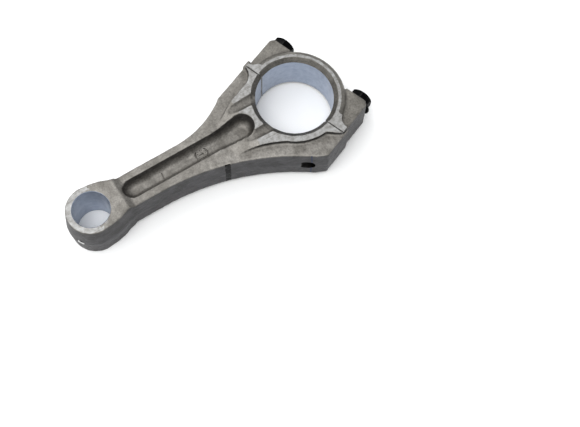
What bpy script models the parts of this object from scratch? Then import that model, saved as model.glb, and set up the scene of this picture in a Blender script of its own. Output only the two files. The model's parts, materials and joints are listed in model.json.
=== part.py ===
"""Connecting rod of a small four-stroke engine: cast aluminium rod, bearing cap and two flange bolts.

Plan view, in millimetres: the crankpin bore's centre is the origin, the pin bore lies on -X and Z runs
along the two bores. The joint between rod and cap is oblique: its frame has U along the bolts, away from
the rod, and V along the joint face. The rod is then stood on its side faces, centred over the origin.
"""

import math

import bmesh
import bpy
from mathutils import Vector

MM = 0.001

# Overall sizes
centre_distance = 105.5
face_half = 11.4             # half the width over the machined side faces
crank_bore_radius = 18.0
pin_bore_radius = 8.5

# Beam between the two eyes
beam_half_width = 8.4
beam_half_thickness = 9.4
draft = 0.4                  # how far the flanks stand out at the parting line
edge_break = 0.7
near_flare_start = 30.5      # from the pin bore, where the beam starts to widen
far_flare_start = 47.0
near_corner_u = -15.4
far_corner_u = -21.3

# Trough in both faces of the beam
trough_depth = 5.0
trough_slim_half = 4.6
trough_wide_half = 5.7
trough_start = 20.8          # from the pin bore's centre to the first end's centre
trough_widens = 42.0         # from the crankpin bore's centre
trough_bore_gap = 4.8        # metal left between the trough's end and the crankpin bore
trough_wall = [(1.0, 3.4), (0.88, 2.0), (0.6, 0.9), (0.2, 0.25), (0.0, 0.0)]   # share of the depth, inset

# Small eye
pin_wall = 3.3
eye_draft = 0.7
neck_length = 16.0           # from the pin bore's centre to the step down to the beam
step_run = 3.0

# Big eye
split_angle = math.radians(21.0)
split_u = -1.1
ring_wall = 5.7              # of the cap
pad_wall = 5.2               # raised side face of the rod, outside the bore
rim_drop = 1.75              # cast chamfer round the bore: depth, then width
rim_flare = 2.0
pad_ramp_start = 38.0        # the side face rises out of the beam between these
pad_ramp_end = 26.0
oil_groove_radius = 2.95
oil_groove_sides = (8.9, -7.1)
oil_groove_tip = 32.0

# Joint, bolts and their holes
gap = 0.3                    # between faces that touch
lip_gap = 0.25
bolt_radius = 3.0
bolt_clearance = 0.2
bolt_wall = 1.2              # metal between a bolt hole and the crankpin bore
bolt_reach = 35.6            # under the head
bolt_hole_extra = 4.5
seat_u = 18.5
flange_radius = 6.5
flange_height = 1.4
hex_across_flats = 9.6
hex_height = 4.0
near_ear = 6.0               # ear beyond its bolt's axis
far_ear = 4.6
near_spread = 2.0            # the cap's side face reaches this far along the ear, and rounds into the ring
near_blend = 5.0
far_spread = 0.8
far_blend = 3.0
near_lip = 0.95              # locating lips of the rod, outside the cap's ears
far_lip = 1.65
near_lip_height = 3.1
far_lip_height = 4.1

# Oil hole of the small eye
oil_hole_radius = 1.3
oil_hole_sink = 2.2
oil_hole_angle = math.radians(213.0)

bolt_hole_radius = bolt_radius + bolt_clearance
bolt_v = crank_bore_radius + bolt_wall + bolt_hole_radius
ring_radius = crank_bore_radius + ring_wall
pad_radius = crank_bore_radius + pad_wall
near_ear_v = -(bolt_v + near_ear)
far_ear_v = bolt_v + far_ear
near_flank_v = near_ear_v - lip_gap - near_lip
far_flank_v = far_ear_v + lip_gap + far_lip
pin_x = -centre_distance
beyond = 4.0                 # how far a cutter runs past what it cuts


def to_plan(u, v):
    """A point of the joint's frame, in the plan's own X and Y."""
    c, s = math.cos(split_angle), math.sin(split_angle)
    return (u * c - v * s, u * s + v * c)


def arc(centre, radius, start, end, steps):
    """Points on an arc, angles in radians."""
    return [(centre[0] + radius * math.cos(start + (end - start) * i / steps),
             centre[1] + radius * math.sin(start + (end - start) * i / steps)) for i in range(steps + 1)]


def circle(centre, radius, steps):
    return arc(centre, radius, 0.0, math.tau, steps)[:-1]


def flare(x0, y0, end, steps):
    """A flank that leaves the line y = y0 tangentially at x0 and curves out to the point end."""
    rise = end[1] - y0
    radius = ((end[0] - x0) ** 2 + rise ** 2) / (2.0 * abs(rise))
    side = math.copysign(1.0, rise)
    turn = math.asin((end[0] - x0) / radius)
    return [(x0 + radius * math.sin(turn * i / steps),
             y0 + side * radius * (1.0 - math.cos(turn * i / steps))) for i in range(steps + 1)]


def shifted(outline, inset):
    """The closed outline with each edge moved in by inset (counter-clockwise outlines)."""
    moved = []
    for i, point in enumerate(outline):
        before = Vector(point) - Vector(outline[i - 1])
        after = Vector(outline[(i + 1) % len(outline)]) - Vector(point)
        n1 = Vector((-before.y, before.x)).normalized()
        n2 = Vector((-after.y, after.x)).normalized()
        mitre = (n1 + n2) / max(1.0 + n1.dot(n2), 0.5)
        moved.append(tuple(Vector(point) + mitre * inset))
    return moved


def new_object(name, mesh, material=None, parent=None):
    item = bpy.data.objects.new(name, mesh)
    bpy.context.scene.collection.objects.link(item)
    if material:
        mesh.materials.append(material)
    item.parent = parent
    return item


def as_tool(item):
    item.hide_render = True
    item.display_type = 'WIRE'
    return item


def prism(name, outline, levels, material=None, parent=None):
    """A solid on a counter-clockwise outline; levels are (z, inset) from the bottom up."""
    bm = bmesh.new()
    rings = []
    for z, inset in levels:
        rings.append([bm.verts.new((x * MM, y * MM, z * MM)) for x, y in shifted(outline, inset)])
    for lower, upper in zip(rings, rings[1:]):
        for i in range(len(lower)):
            j = (i + 1) % len(lower)
            bm.faces.new((lower[i], lower[j], upper[j], upper[i]))
    bm.faces.new(list(reversed(rings[0])))
    bm.faces.new(rings[-1])
    mesh = bpy.data.meshes.new(name)
    bm.to_mesh(mesh)
    bm.free()
    return new_object(name, mesh, material, parent)


def turned(name, profile, steps, material=None, parent=None):
    """A solid turned about its own Z from (radius, z) points that run from the bottom up."""
    bm = bmesh.new()
    rings = [[bm.verts.new((x * MM, y * MM, z * MM)) for x, y in circle((0.0, 0.0), radius, steps)]
             for radius, z in profile]
    for lower, upper in zip(rings, rings[1:]):
        for i in range(steps):
            j = (i + 1) % steps
            bm.faces.new((lower[i], lower[j], upper[j], upper[i]))
    bm.faces.new(list(reversed(rings[0])))
    bm.faces.new(rings[-1])
    mesh = bpy.data.meshes.new(name)
    bm.to_mesh(mesh)
    bm.free()
    return new_object(name, mesh, material, parent)


def boolean(item, tool, operation):
    step = item.modifiers.new(operation.lower() + '_' + tool.name, 'BOOLEAN')
    step.operation = operation
    step.object = tool
    step.solver = 'EXACT'


def smooth(item, angle=35.0):
    item.data.shade_smooth()
    item.data.set_sharp_from_angle(angle=math.radians(angle))


def finish(name, colour, roughness, metallic):
    material = bpy.data.materials.new(name)
    material.use_nodes = True
    shader = material.node_tree.nodes['Principled BSDF']
    shader.inputs['Base Color'].default_value = (*colour, 1.0)
    shader.inputs['Roughness'].default_value = roughness
    shader.inputs['Metallic'].default_value = metallic
    material.diffuse_color = (*colour, 1.0)
    return material


def rod_outline():
    """The beam and the rod's half of the big eye, counter-clockwise, out to the tips of the lips."""
    near_end = to_plan(near_corner_u, near_flank_v)
    far_end = to_plan(far_corner_u, far_flank_v - far_lip / 2)
    near = flare(pin_x + near_flare_start, -beam_half_width, near_end, 14)
    far = flare(pin_x + far_flare_start, beam_half_width, far_end, 12)
    corner = 1.6
    near[-1] = tuple(Vector(near[-1]) + (Vector(near[-2]) - Vector(near[-1])).normalized() * corner)
    outline = [(pin_x, -beam_half_width)] + near
    outline.append(to_plan(near_corner_u + corner, near_flank_v))
    outline.append(to_plan(split_u + near_lip_height, near_flank_v))
    outline.append(to_plan(split_u + far_lip_height, far_flank_v))
    outline.append(to_plan(split_u - 0.5, far_flank_v))
    outline.append(to_plan(split_u - 1.5, far_flank_v - far_lip / 2))
    outline += list(reversed(far))
    outline.append((pin_x, beam_half_width))
    return outline


def pad_outline():
    """The raised side face round the rod's half of the crankpin bore."""
    joint = split_u - 0.8
    reach = pad_ramp_start + 8.0
    near_tail = 11.0         # half widths where the pad sinks into the beam
    far_tail = 6.2
    blend = 7.0              # radius of the hollow towards the far lip
    far_line = pad_radius - 1.4
    ring = arc((0.0, 0.0), pad_radius, math.radians(230.0), math.radians(276.0), 8)
    near = flare(-pad_ramp_start - 2.0, -near_tail, ring[0], 8)[:-1]
    near_corner = to_plan(joint, near_flank_v + near_lip)
    near_blend = to_plan(joint - 1.6, near_flank_v + near_lip + 2.2)
    outline = [(-reach, -near_tail)] + near + ring + [near_blend, near_corner]
    outline.append(to_plan(split_u + beyond, near_flank_v + near_lip))
    outline.append(to_plan(split_u + beyond, far_flank_v - far_lip))
    centre = (joint - blend, far_line + blend)
    sweep = math.acos((centre[1] - far_flank_v + far_lip) / blend)
    far_arc = arc(centre, blend, -math.pi / 2 + sweep, -math.pi / 2, 6)
    outline += [to_plan(*point) for point in far_arc]
    outline.append(to_plan(-pad_radius + 2.0, far_line))
    outline.append((-pad_ramp_start, far_tail))
    outline.append((-reach, far_tail))
    return outline


def neck_outline():
    """The small eye's side face, from its own round end to the step down to the beam."""
    radius = pin_bore_radius + pin_wall
    tip = arc((pin_x, 0.0), radius, math.radians(92.0), math.radians(268.0), 28)
    end = pin_x + neck_length + step_run
    slope = [(pin_x + 5.5, -radius + 0.6), (pin_x + 9.5, -radius + 1.4), (pin_x + 13.5, -radius + 3.0)]
    near = slope + [(pin_x + neck_length, -beam_half_width), (end, -beam_half_width + 1.0)]
    return tip + near + [(x, -y) for x, y in reversed(near)]


def side_limits():
    """Side view of the raised faces: full width at both eyes, ramps that sink into the beam between."""
    sunk = beam_half_thickness - 1.0
    slope = (face_half - beam_half_thickness) / (pad_ramp_start - pad_ramp_end)
    ramp_foot = -pad_ramp_end - (face_half - sunk) / slope
    step_x = pin_x + neck_length - step_run / 2
    step_foot = step_x + step_run * (face_half - sunk) / (face_half - beam_half_thickness)
    left = pin_x - pin_bore_radius - pin_wall - beyond
    right = far_ear_v + beyond
    upper = [(left, face_half), (step_x, face_half), (step_foot, sunk), (ramp_foot, sunk),
             (-pad_ramp_end, face_half), (right, face_half)]
    return [(x, -z) for x, z in upper] + list(reversed(upper))


def trough_outline():
    start = pin_x + trough_start
    end = -(crank_bore_radius + trough_bore_gap + trough_wide_half)
    left = arc((start, 0.0), trough_slim_half, math.radians(90.0), math.radians(270.0), 16)
    right = arc((end, 0.0), trough_wide_half, math.radians(-90.0), math.radians(90.0), 16)
    return left + [(-trough_widens, -trough_slim_half)] + right + [(-trough_widens, trough_slim_half)]


def crank_bore_tool(name, parent):
    """The crankpin bore with the cast chamfers at both its ends."""
    rim = face_half - rim_drop
    wide = crank_bore_radius + rim_flare
    over = rim_flare / rim_drop * beyond
    top = face_half + beyond
    profile = [(wide + over, -top), (wide, -face_half), (crank_bore_radius, -rim),
               (crank_bore_radius, rim), (wide, face_half), (wide + over, top)]
    return as_tool(turned(name, profile, 96, parent=parent))


def build_rod(frame, joint_frame, material):
    z = beam_half_thickness
    rod = prism('rod_body', rod_outline(), [(-z, edge_break), (edge_break - z, 0.0), (0.0, -draft),
                                            (z - edge_break, 0.0), (z, edge_break)], material, frame)
    high = face_half + beyond
    pad_levels = [(-high, draft), (0.0, -draft / 2), (high, draft)]
    raised = as_tool(prism('tool_side_faces', pad_outline(), pad_levels, parent=frame))
    eye_levels = [(-high, eye_draft), (0.0, -eye_draft), (high, eye_draft)]
    neck = as_tool(prism('tool_small_eye', neck_outline(), eye_levels, parent=frame))
    full_width = [(-centre_distance, 0.0), (centre_distance, 0.0)]
    limits = as_tool(prism('tool_side_limits', side_limits(), full_width, parent=frame))
    limits.rotation_euler = (math.radians(90.0), 0.0, 0.0)
    boolean(raised, limits, 'INTERSECT')
    boolean(neck, limits, 'INTERSECT')
    boolean(rod, raised, 'UNION')
    boolean(rod, neck, 'UNION')

    boolean(rod, crank_bore_tool('tool_crank_bore', frame), 'DIFFERENCE')
    pin_bore = as_tool(turned('tool_pin_bore', [(pin_bore_radius, -high), (pin_bore_radius, high)], 64,
                              parent=frame))
    pin_bore.location = (pin_x * MM, 0.0, 0.0)
    boolean(rod, pin_bore, 'DIFFERENCE')

    face = split_u - gap / 2
    cap_space = [(face, near_ear_v - lip_gap), (seat_u + beyond, near_ear_v - lip_gap),
                 (seat_u + beyond, far_ear_v + lip_gap), (face, far_ear_v + lip_gap)]
    room = as_tool(prism('tool_cap_space', cap_space, [(-high, 0.0), (high, 0.0)], parent=joint_frame))
    boolean(rod, room, 'DIFFERENCE')

    trough_levels = [(z - trough_depth * share, inset) for share, inset in trough_wall] + [(high, -0.6)]
    for side, label in ((1.0, 'top'), (-1.0, 'bottom')):
        trough = as_tool(prism('tool_trough_' + label, trough_outline(), trough_levels, parent=frame))
        if side < 0.0:
            trough.rotation_euler = (math.pi, 0.0, 0.0)
        boolean(rod, trough, 'DIFFERENCE')
        for number, groove_y in enumerate(oil_groove_sides):
            groove = oil_groove('tool_oil_groove_%s_%d' % (label, number), groove_y, side, frame)
            boolean(rod, groove, 'DIFFERENCE')

    hole_end = seat_u - bolt_reach - bolt_hole_extra
    drill = [(0.3, hole_end - bolt_hole_radius * 0.6), (bolt_hole_radius, hole_end), (bolt_hole_radius, beyond)]
    for label, v in (('near', -bolt_v), ('far', bolt_v)):
        hole = as_tool(turned('tool_thread_' + label, drill, 32, parent=joint_frame))
        hole.location = (0.0, v * MM, 0.0)
        hole.rotation_euler = (0.0, math.radians(90.0), 0.0)
        boolean(rod, hole, 'DIFFERENCE')

    wall = pin_bore_radius + pin_wall + eye_draft
    oil_drill = [(oil_hole_radius, pin_bore_radius - 2.0), (oil_hole_radius, wall - 0.9),
                 (oil_hole_sink, wall), (oil_hole_sink, wall + beyond)]
    oil = as_tool(turned('tool_oil_hole', oil_drill, 24, parent=frame))
    oil.location = (pin_x * MM, 0.0, 0.0)
    oil.rotation_euler = (0.0, math.radians(90.0), oil_hole_angle)
    boolean(rod, oil, 'DIFFERENCE')
    smooth(rod)
    return rod


def oil_groove(name, groove_y, side, frame):
    """A round cutter that sinks towards the crankpin bore, so that its groove starts at a point."""
    floor = face_half - rim_drop + 0.15
    start = Vector((-oil_groove_tip, groove_y, side * (face_half + oil_groove_radius * 0.86)))
    end = Vector((-crank_bore_radius + 2.5, groove_y, side * (floor + oil_groove_radius)))
    along = end - start
    cutter = as_tool(turned(name, [(oil_groove_radius, -3.0), (oil_groove_radius, along.length)], 24,
                            parent=frame))
    cutter.location = start * MM
    cutter.rotation_mode = 'QUATERNION'
    cutter.rotation_quaternion = along.to_track_quat('Z', 'Y')
    return cutter


def ear_flare(reach, blend, side, ear_v):
    """The side face of the cap where it runs out to an ear, rounded into the ring."""
    inside = crank_bore_radius + 1.0
    middle = (reach + blend, math.sqrt((ring_radius + blend) ** 2 - (reach + blend) ** 2))
    round_part = arc(middle, blend, math.pi, math.pi + math.atan2(middle[1], middle[0]), 8)
    outline = [(split_u - beyond, inside), (reach + blend / 2, inside)] + list(reversed(round_part))
    outline.append((reach, max(abs(ear_v), middle[1])))
    outline = [point for point in outline if point[1] <= abs(ear_v)]
    outline.append((split_u - beyond, abs(ear_v)))
    if side < 0.0:
        outline = [(u, -v) for u, v in reversed(outline)]
    return outline


def build_cap(joint_frame, material):
    spare = 0.5              # stands over the side faces until they are cut flat
    edge = [(ring_radius - 2.2 - 2 * spare, face_half + spare), (ring_radius - 2.2, face_half),
            (ring_radius - 0.6, face_half - 0.9), (ring_radius, face_half - 2.8), (ring_radius + 0.1, 0.0)]
    inside = crank_bore_radius - 2.0
    ring_profile = ([(inside, -face_half - spare)] + [(radius, -z) for radius, z in edge]
                    + list(reversed(edge[:-1])) + [(inside, face_half + spare)])
    cap = turned('bearing_cap', ring_profile, 96, material, joint_frame)
    z = beam_half_thickness
    inner = bolt_v - flange_radius - gap
    corner = 1.5
    milled = 1.0
    ear_levels = [(-z, edge_break), (edge_break - z, 0.0), (z - edge_break, 0.0), (z, edge_break)]
    face_levels = [(-face_half - 2 * spare, 0.0), (face_half + 2 * spare, 0.0)]
    seat_levels = [(-face_half - beyond, 0.0), (face_half + beyond, 0.0)]
    ends = (('near', -1.0, near_ear_v, near_spread, near_blend), ('far', 1.0, far_ear_v, far_spread, far_blend))
    for label, side, ear_v, reach, blend in ends:
        outer = abs(ear_v)
        ear = [(split_u - beyond, inner + gap), (seat_u + milled, inner + gap),
               (seat_u + milled, outer - corner - milled), (seat_u - corner, outer), (split_u - beyond, outer)]
        seat = [(seat_u, inner), (seat_u + 2 * beyond, inner), (seat_u + 2 * beyond, outer + beyond),
                (seat_u, outer + beyond)]
        if side < 0.0:
            ear = [(u, -v) for u, v in reversed(ear)]
            seat = [(u, -v) for u, v in reversed(seat)]
        block = as_tool(prism('tool_ear_' + label, ear, ear_levels, parent=joint_frame))
        boolean(cap, block, 'UNION')
        outline = ear_flare(reach, blend, side, ear_v)
        face = as_tool(prism('tool_cap_face_' + label, outline, face_levels, parent=joint_frame))
        boolean(cap, face, 'UNION')
        mill = as_tool(prism('tool_seat_' + label, seat, seat_levels, parent=joint_frame))
        boolean(cap, mill, 'DIFFERENCE')
    high = face_half + beyond
    wide = max(abs(near_flank_v), far_flank_v) + beyond
    width = as_tool(prism('tool_cap_width', [(-wide, -wide), (wide, -wide), (wide, wide), (-wide, wide)],
                          [(-face_half, 0.0), (face_half, 0.0)], parent=joint_frame))
    boolean(cap, width, 'INTERSECT')
    boolean(cap, crank_bore_tool('tool_cap_bore', joint_frame), 'DIFFERENCE')
    below = split_u + gap / 2
    half = as_tool(prism('tool_rod_side', [(-wide, -wide), (below, -wide), (below, wide), (-wide, wide)],
                         [(-high, 0.0), (high, 0.0)], parent=joint_frame))
    boolean(cap, half, 'DIFFERENCE')
    through = [(bolt_hole_radius, split_u - beyond), (bolt_hole_radius, seat_u + beyond)]
    for label, v in (('near', -bolt_v), ('far', bolt_v)):
        hole = as_tool(turned('tool_bolt_hole_' + label, through, 32, parent=joint_frame))
        hole.location = (0.0, v * MM, 0.0)
        hole.rotation_euler = (0.0, math.radians(90.0), 0.0)
        boolean(cap, hole, 'DIFFERENCE')
    smooth(cap)
    return cap


def build_bolt(name, v, joint_frame, material):
    """A flange bolt along its own Z, with the flange's underside at the origin and the head above."""
    top = flange_height + hex_height
    corner_radius = hex_across_flats / math.sqrt(3.0)
    profile = [(bolt_radius - 0.8, -bolt_reach), (bolt_radius, 0.9 - bolt_reach), (bolt_radius, 0.0),
               (flange_radius - 0.2, 0.0), (flange_radius, 0.35), (flange_radius, 0.8),
               (corner_radius - 0.9, flange_height), (corner_radius - 0.9, flange_height + 0.5)]
    bolt = turned(name, profile, 48, material, joint_frame)
    hexagon = circle((0.0, 0.0), corner_radius, 6)
    head = as_tool(prism('tool_hex_' + name, hexagon, [(0.5, 0.0), (top, 0.0)], parent=bolt))
    crown_profile = [(corner_radius + 1.0, 0.0), (corner_radius + 1.0, top - 1.6),
                     (corner_radius - 0.1, top - 0.9), (corner_radius - 1.0, top - 0.3),
                     (corner_radius - 2.4, top - 0.02)]
    crown = as_tool(turned('tool_crown_' + name, crown_profile, 48, parent=bolt))
    boolean(head, crown, 'INTERSECT')
    boolean(bolt, head, 'UNION')
    bolt.location = ((seat_u + gap) * MM, v * MM, 0.0)
    bolt.rotation_euler = (0.0, math.radians(90.0), 0.0)
    smooth(bolt, 28.0)
    return bolt


def stand_on_side_faces(frame, items):
    """Move the whole rod so that it lies on its side faces with its middle over the origin."""
    bpy.context.view_layer.update()
    graph = bpy.context.evaluated_depsgraph_get()
    corners = []
    for item in items:
        shape = item.evaluated_get(graph)
        corners += [shape.matrix_world @ vertex.co for vertex in shape.data.vertices]
    low = [min(point[i] for point in corners) for i in range(3)]
    high = [max(point[i] for point in corners) for i in range(3)]
    frame.location = (-(low[0] + high[0]) / 2, -(low[1] + high[1]) / 2, -low[2])
    bpy.context.view_layer.update()


def main():
    for item in list(bpy.data.objects):
        bpy.data.objects.remove(item, do_unlink=True)
    cast = finish('cast_aluminium', (0.42, 0.40, 0.37), 0.45, 1.0)
    cap_cast = finish('cap_cast_aluminium', (0.45, 0.43, 0.40), 0.45, 1.0)
    black = finish('black_oxide_steel', (0.02, 0.02, 0.022), 0.4, 0.8)
    frame = new_object('rod_frame', None)
    joint_frame = new_object('cap_slide_axis', None, parent=frame)
    joint_frame.rotation_euler = (0.0, 0.0, split_angle)
    rod = build_rod(frame, joint_frame, cast)
    cap = build_cap(joint_frame, cap_cast)
    bolts = [build_bolt('cap_bolt_near', -bolt_v, joint_frame, black),
             build_bolt('cap_bolt_far', bolt_v, joint_frame, black)]
    stand_on_side_faces(frame, [rod, cap] + bolts)


main()
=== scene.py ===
# %% [markdown]
# # A connecting rod, cast and then machined
#
# The real rod starts as an aluminium casting: a beam with a small eye for the piston pin and a big eye for
# the crankpin. The casting has a rough skin, rounded corners and a little draft, and then a shop faces its
# two sides, saws off the cap, bores both eyes and drills for two bolts. We follow the same order. Each
# casting is modelled with rounded, slightly wavy skin, and only then is it cut with cutters that carry the
# bright, machined finishes. All modelling happens on a bench where one unit is one millimetre, round the
# middle of the crankpin bore, and each finished piece is then shrunk and moved to its place.

# %% The frame
import json
import math

import bpy
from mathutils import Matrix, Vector


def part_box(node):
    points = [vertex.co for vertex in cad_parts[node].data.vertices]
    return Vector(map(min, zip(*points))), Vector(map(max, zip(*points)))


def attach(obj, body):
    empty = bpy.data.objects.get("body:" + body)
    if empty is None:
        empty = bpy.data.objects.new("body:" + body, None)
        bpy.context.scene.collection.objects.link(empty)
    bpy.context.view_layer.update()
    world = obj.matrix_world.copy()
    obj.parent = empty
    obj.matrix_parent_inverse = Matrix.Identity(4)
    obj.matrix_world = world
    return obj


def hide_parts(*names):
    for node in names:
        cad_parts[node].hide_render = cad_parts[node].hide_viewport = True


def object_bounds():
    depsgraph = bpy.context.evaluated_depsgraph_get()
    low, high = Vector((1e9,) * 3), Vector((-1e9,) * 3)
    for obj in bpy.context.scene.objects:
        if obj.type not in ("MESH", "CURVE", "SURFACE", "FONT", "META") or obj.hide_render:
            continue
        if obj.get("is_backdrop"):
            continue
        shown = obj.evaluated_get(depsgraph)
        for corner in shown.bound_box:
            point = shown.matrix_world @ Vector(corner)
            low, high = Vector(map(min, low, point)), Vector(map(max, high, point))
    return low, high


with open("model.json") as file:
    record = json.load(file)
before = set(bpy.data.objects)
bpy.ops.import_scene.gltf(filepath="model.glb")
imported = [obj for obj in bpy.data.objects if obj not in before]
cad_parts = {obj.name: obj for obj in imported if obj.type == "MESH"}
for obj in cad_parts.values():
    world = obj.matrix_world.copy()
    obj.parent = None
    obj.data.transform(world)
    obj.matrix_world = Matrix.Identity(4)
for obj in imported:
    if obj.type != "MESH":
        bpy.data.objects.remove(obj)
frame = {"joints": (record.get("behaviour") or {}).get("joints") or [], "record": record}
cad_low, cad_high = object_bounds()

print("frame box in mm:", [round(1000 * c, 2) for c in (*cad_low, *cad_high)])

# %% [markdown]
# The frame knows where everything is: its record has a box inside each bore, and the slide joint of the cap
# gives the direction of the bolts. From these come the two bore centres, the distance between them, the
# width over the side faces and the angle at which the cap is split off. The two bolts are alike, so their
# boxes lie as far apart as their axes do, and each axis passes the bore at half that distance.

# %% Places taken from the frame
MM = 0.001


def opening_middle(name):
    """The middle of one of the record's openings, in metres."""
    box = next(o["box_m"] for o in frame["record"]["physics"]["openings"] if o["name"] == name)
    return (Vector(box[0]) + Vector(box[1])) / 2


crank_centre = opening_middle("crankpin_bore")
pin_centre = opening_middle("pin_bore")
centre_distance = (crank_centre - pin_centre).length / MM
face_half = (cad_high.z - cad_low.z) / 2 / MM
slide = Vector(frame["joints"][0]["axis"])
split_angle = math.atan2(slide.y, slide.x)
across = Vector((-slide.y, slide.x, 0.0))
far_bolt_box, near_bolt_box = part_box("cap_bolt_far"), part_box("cap_bolt_near")
bolt_v = (Vector(far_bolt_box[1]) - Vector(near_bolt_box[1])).dot(across) / 2 / MM
pin_x = -centre_distance
print("centre distance %.2f, half width %.2f, bolts at %.2f" % (centre_distance, face_half, bolt_v))
print("split angle in degrees:", round(math.degrees(split_angle), 2))

# %% [markdown]
# A camera with a fairly long lens looks down on the part from the front left. Its angles say where it
# stands, and the roll turns it a little about its own axis. The aim is a point a little below and in front of
# the crankpin bore, so that the rod lies in the upper left of the picture.

# %% Camera
camera_azimuth = math.radians(-36.19)
camera_elevation = math.radians(68.89)
camera_roll = math.radians(4.13)
camera_distance = 574.0
camera_lens = 76.78
aim_from_crank = Vector((-25.84, -38.32, -17.83))

bpy.ops.object.select_all(action="DESELECT")
bpy.ops.object.camera_add()
camera = bpy.context.object
camera.data.lens = camera_lens
back = Vector((math.sin(camera_azimuth) * math.cos(camera_elevation),
               -math.cos(camera_azimuth) * math.cos(camera_elevation), math.sin(camera_elevation)))
camera.location = crank_centre + (aim_from_crank + back * camera_distance) * MM
camera.rotation_euler = (math.pi / 2 - camera_elevation, 0.0, camera_azimuth)
camera.rotation_euler.rotate_axis("Z", camera_roll)
camera.data.clip_start = 0.05
bpy.context.scene.camera = camera
print("camera at", [round(c, 3) for c in camera.location])

# %% [markdown]
# The light is a plain studio: a pale room, a large soft light from the back, a smaller one above and a weak
# one from the left. The sides that face the viewer mostly see the room, so they stay darker than the upper
# faces, which gives the part its depth; the cast finish adds painted shade to upright faces on top of this.

# %% Lights and room
def soft_light(name, place, aim, size, power):
    """A square area light at place, in metres, that shines at aim."""
    bpy.ops.object.light_add(type="AREA", location=place)
    light = bpy.context.object
    light.name = name
    light.data.size = size
    light.data.energy = power
    light.rotation_euler = (Vector(aim) - Vector(place)).to_track_quat("-Z", "Y").to_euler()
    return light


room_strength = 0.78
soft_light("key_light", (-0.25, 0.85, 0.95), (0.0, 0.0, 0.0), 1.2, 8.0)
soft_light("top_light", (-0.3, -0.2, 1.3), (0.0, 0.0, 0.0), 0.8, 9.0)
soft_light("left_light", (-0.85, -0.1, 0.6), (0.0, 0.0, 0.0), 0.6, 2.0)
world = bpy.data.worlds.new("studio_room")
bpy.context.scene.world = world
world.use_nodes = True
world.node_tree.nodes["Background"].inputs["Strength"].default_value = room_strength
world.node_tree.nodes["Background"].inputs["Color"].default_value = (0.97, 0.985, 1.0, 1.0)
bpy.context.scene.view_settings.view_transform = "Standard"

# %% [markdown]
# Finishes need two helpers. One turns a hex colour, as picked in any paint program, into the linear values
# that shaders use. The other adds a node with its settings and its inputs, where an input is either a number
# or another node's output.

# %% Colour and node helpers
def colour(code):
    """The sRGB hex colour as linear red, green, blue and alpha."""
    parts = [int(code[i:i + 2], 16) / 255 for i in (0, 2, 4)]
    return [c / 12.92 if c <= 0.04045 else ((c + 0.055) / 1.055) ** 2.4 for c in parts] + [1.0]


def add(tree, kind, settings=None, **inputs):
    """Adds a node; settings are its own options, inputs are values or outputs of other nodes."""
    node = tree.nodes.new("ShaderNode" + kind)
    for name, value in (settings or {}).items():
        setattr(node, name, value)
    for name, value in inputs.items():
        socket = node.inputs[int(name[1:]) if name[1:].isdigit() else name.replace("_", " ")]
        if isinstance(value, bpy.types.NodeSocket):
            tree.links.new(value, socket)
        else:
            socket.default_value = value
    return node


def start_finish(name, metallic):
    """A new material, its nodes, its shader and its Object coordinates in mm from the crankpin bore."""
    material = bpy.data.materials.new(name)
    material.use_nodes = True
    tree = material.node_tree
    shader = tree.nodes["Principled BSDF"]
    shader.inputs["Metallic"].default_value = metallic
    place = add(tree, "TexCoord").outputs["Object"]
    in_mm = add(tree, "Mapping", Vector=place, Location=[-c / MM for c in crank_centre],
                Scale=(1 / MM, 1 / MM, 1 / MM)).outputs["Vector"]
    return material, tree, shader, in_mm


def speckle(tree, place, size, detail=2.0, roughness=0.6):
    """Soft noise, 0 to 1, whose blotches are about size mm across."""
    return add(tree, "TexNoise", Vector=place, Scale=1 / size, Detail=detail,
               Roughness=roughness).outputs["Fac"]


def between(tree, value, low, high, first=0.0, last=1.0):
    """The value stretched so that low becomes first and high becomes last."""
    return add(tree, "MapRange", Value=value, From_Min=low, From_Max=high, To_Min=first,
               To_Max=last).outputs["Result"]


def blend_colour(tree, factor, first, second, how="MIX"):
    """First where the factor is 0 and second where it is 1."""
    return add(tree, "Mix", {"data_type": "RGBA", "blend_type": how}, _0=factor, _6=first,
               _7=second).outputs[2]


def maths(tree, operation, first, second=0.0):
    return add(tree, "Math", {"operation": operation}, _0=first, _1=second).outputs["Value"]


print("mid grey 8C8C8C is", round(colour("8C8C8C")[0], 3), "in linear light")

# %% [markdown]
# ## The cast skin
#
# Gravity-cast aluminium, shot-blasted after the mould. It is a dull, warm grey, because the blasting leaves
# tiny dents that scatter the light, and it is never even: there are fine grains and blotches of several
# millimetres. The hollows are darker, partly from residue and partly as painted shade, and the outer corners
# are lighter, partly from a little polish and partly as a painted highlight. The grain is drawn at 0.8 mm,
# coarser than it would be, so that it shows in a picture of the whole rod. Upright faces are painted darker
# and cooler as painted shade, and so is the sloping cast cone round each bore. The near flank also carries a
# black stripe and a thin line of ink.

# %% Cast aluminium
grain_size = 0.8             # mm, coarser than the real grain so that it shows
blotch_size = 6.0
dent_depth = 0.045           # mm
stripe_x = (-44.5, -42.0)    # black paint on the near flank
stripe_y = -6.0              # and only beyond this
ink_x = (-9.15, -8.75)
ink_y = -28.0
# Painted shade on the sloping cast cone round the bore:
cone_edge = 20.0             # the cast cone at the bore is darker inside this radius
cone_shade_grey = 0.62


def darken(tree, skin, grey):
    """The skin multiplied by a grey level, which may be another node's output."""
    level = add(tree, "CombineColor", Red=grey, Green=grey, Blue=grey).outputs["Color"]
    return blend_colour(tree, 1.0, skin, level, "MULTIPLY")


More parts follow.
